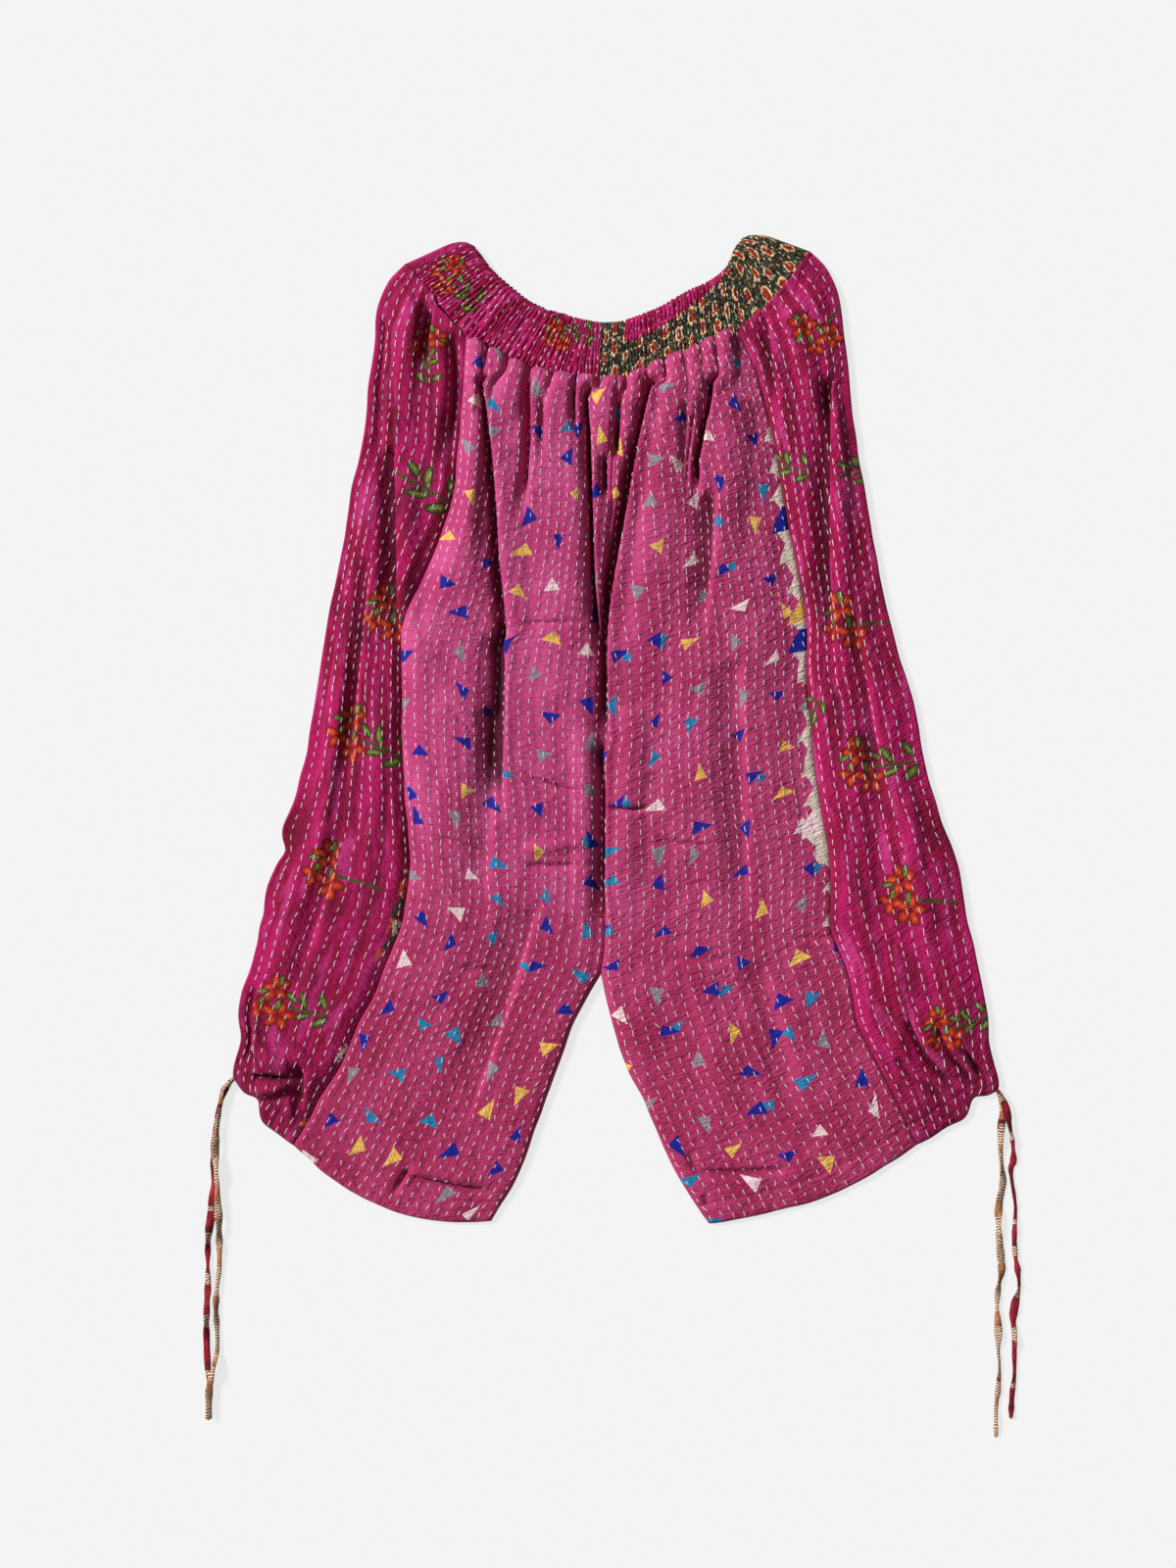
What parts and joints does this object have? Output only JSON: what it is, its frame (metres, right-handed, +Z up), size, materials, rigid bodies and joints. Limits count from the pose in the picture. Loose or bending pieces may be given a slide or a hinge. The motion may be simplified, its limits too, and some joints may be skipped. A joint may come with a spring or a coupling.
{
  "type": "quilted patchwork capri trousers, laid flat",
  "caption": "Wide patchwork capri trousers in running-stitched cotton, laid flat: shirred waistband, drop crotch, side panels and drawstring hems.",
  "frame": {"origin": "middle of the garment's outline on the surface it lies on, without its ties", "axes": "+Z up from the surface, +Y towards the waist, -Y towards the hems, +X to the right as it lies face up"},
  "size_m": [0.7101, 1.0454, 0.0144],
  "materials": {
    "rose_print": "matt quilted cotton, rose pink with small scattered triangles",
    "magenta_floral": "matt quilted cotton, mottled magenta with orange flowers and green leaf sprigs",
    "green_print": "matt quilted cotton, dark green with small cream-edged red ovals",
    "tan_tie": "twisted cotton tape, tan with cream stripes",
    "red_tie": "twisted cotton tape, dark red",
    "thread": "cream-white quilting thread"
  },
  "bodies": {
    "root": {"front_left": "rose_print", "front_right": "rose_print", "back_left": "rose_print", "back_right": "rose_print", "side_left": "magenta_floral", "side_right": "magenta_floral", "waistband_front_left": "magenta_floral", "waistband_edge_strip": "magenta_floral", "waistband_back": "magenta_floral", "waistband_front_right": "green_print", "tie_left_tan": "tan_tie", "tie_right_tan": "tan_tie", "tie_left_red": "red_tie", "tie_right_red": "red_tie"}
  },
  "joints": []
}
